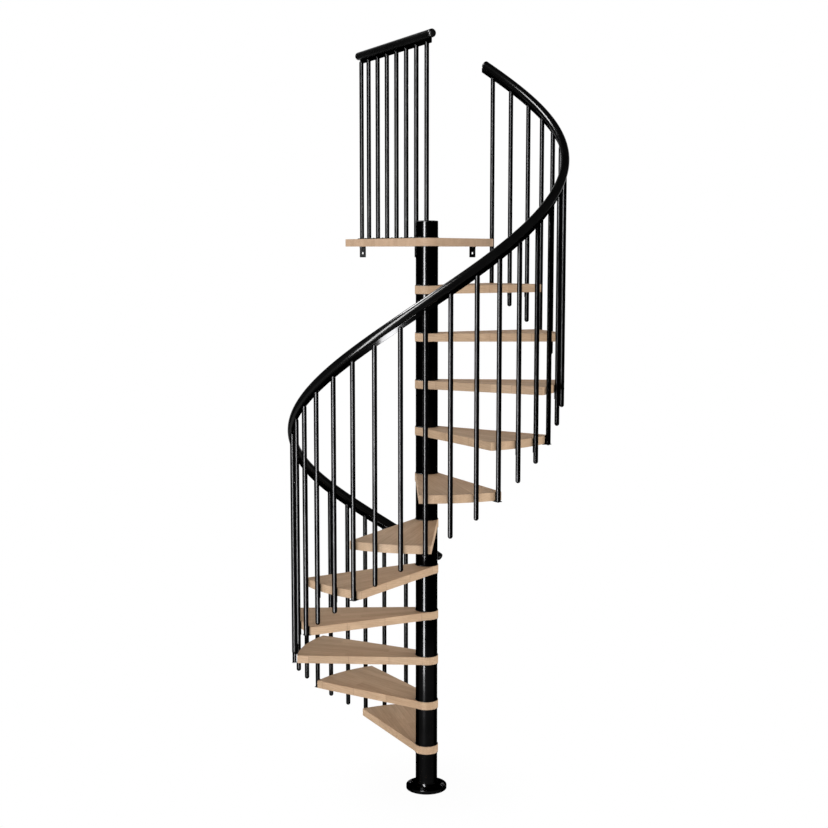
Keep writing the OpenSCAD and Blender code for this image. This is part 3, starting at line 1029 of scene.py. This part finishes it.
def white_seen(graph, glossy_share):
    """How much of a ray sees plain white.

    A camera ray or a transmission ray sees it in full, and a glossy ray by the given share.
    """
    path = graph.put("ShaderNodeLightPath").outputs
    glossy = graph.math("MULTIPLY", path["Is Glossy Ray"], glossy_share)
    seen = graph.math("MAXIMUM", path["Is Camera Ray"], path["Is Transmission Ray"])
    return graph.math("MAXIMUM", seen, glossy)


def studio_floor():
    """Pale floor that is plain white to the camera but for a faint shadow at the column's foot."""
    material, g, shader = new_material("pale_floor")
    g.set(shader["Base Color"], (0.9, 0.9, 0.9, 1))
    g.set(shader["Roughness"], 0.9)
    place = g.put("ShaderNodeTexCoord").outputs["Object"]
    away = g.put("ShaderNodeVectorMath", {0: place}, operation="LENGTH").outputs["Value"]
    share = g.math("MULTIPLY", white_seen(g, 0.1), g.ramp(away, 0.1, 0.6, 0.96, 1.0))
    lit = g.nodes["Principled BSDF"].outputs[0]
    white = g.put("ShaderNodeEmission", {"Color": WHITE, "Strength": 1.0}).outputs[0]
    g.mix_shaders(share, lit, white, "Material Output")
    ring = [tuple(polar(FLOOR_R, degrees)) for degrees in range(0, 360, 5)]
    mesh = bpy.data.meshes.new("studio_floor")
    mesh.from_pydata(ring, [], [tuple(range(len(ring)))])
    mesh.materials.append(material)
    floor = bpy.data.objects.new("studio_floor", mesh)
    floor.location.z = -FLOOR_BELOW
    scene.collection.objects.link(floor)
    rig.stage(floor)


def studio_world():
    """Even light from all round, weaker from above and below.

    The gloss mirrors none of it, and sees white only behind the object.
    """
    world = bpy.data.worlds.new("studio")
    world.use_nodes = True
    scene.world = world
    g = Graph(world.node_tree)
    direction = g.put("ShaderNodeTexCoord").outputs["Generated"]
    _, y, z = g.put("ShaderNodeSeparateXYZ", {0: direction}).outputs
    behind = g.ramp(y, 0.75, 0.97)
    above, below = g.ramp(z, 0.15, 0.5, 1.95, 0.6), g.ramp(z, -0.2, 0.0, 0.75, 1.0)
    mirrored = g.put("ShaderNodeLightPath").outputs["Is Glossy Ray"]
    level = g.math("MULTIPLY", g.math("MULTIPLY", above, below), g.math("SUBTRACT", 1.0, mirrored))
    fill = g.put("ShaderNodeBackground", {"Color": WHITE, "Strength": level}).outputs[0]
    white = g.put("ShaderNodeBackground", {"Color": WHITE, "Strength": 1.0}).outputs[0]
    g.mix_shaders(white_seen(g, behind), fill, white, "World Output")


def strip_light(name, place, aim, width, height, watts):
    """A lamp that shows as a streak in the gloss and adds nothing to the even light."""
    light = bpy.data.lights.new(name, "AREA")
    light.shape = "RECTANGLE"
    light.size, light.size_y = width, height
    light.energy = watts
    lamp = bpy.data.objects.new(name, light)
    lamp.location = place
    lamp.rotation_euler = (Vector(aim) - Vector(place)).to_track_quat("-Z", "Y").to_euler()
    lamp.visible_camera = False
    lamp.visible_diffuse = False
    scene.collection.objects.link(lamp)


studio_floor()
studio_world()
# a tall strip at the front left streaks the column and the balusters
strip_light("front_strip", place=(-0.88, -1.80, 2.3), aim=(0, 0, 2.3),
            width=0.44, height=4.6, watts=1120)
# a wide one high on the left streaks the inside of the upper handrail
strip_light("high_strip", place=(-2.2, 0.6, 5.2), aim=(0.5, 0.4, 3.4),
            width=1.9, height=0.8, watts=620)
scene.view_settings.view_transform = "Standard"

low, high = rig.bounds()
with open("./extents.json", "w") as out:
    json.dump({"cad": [list(v) for v in cad_bounds], "visual": [list(low), list(high)]}, out)
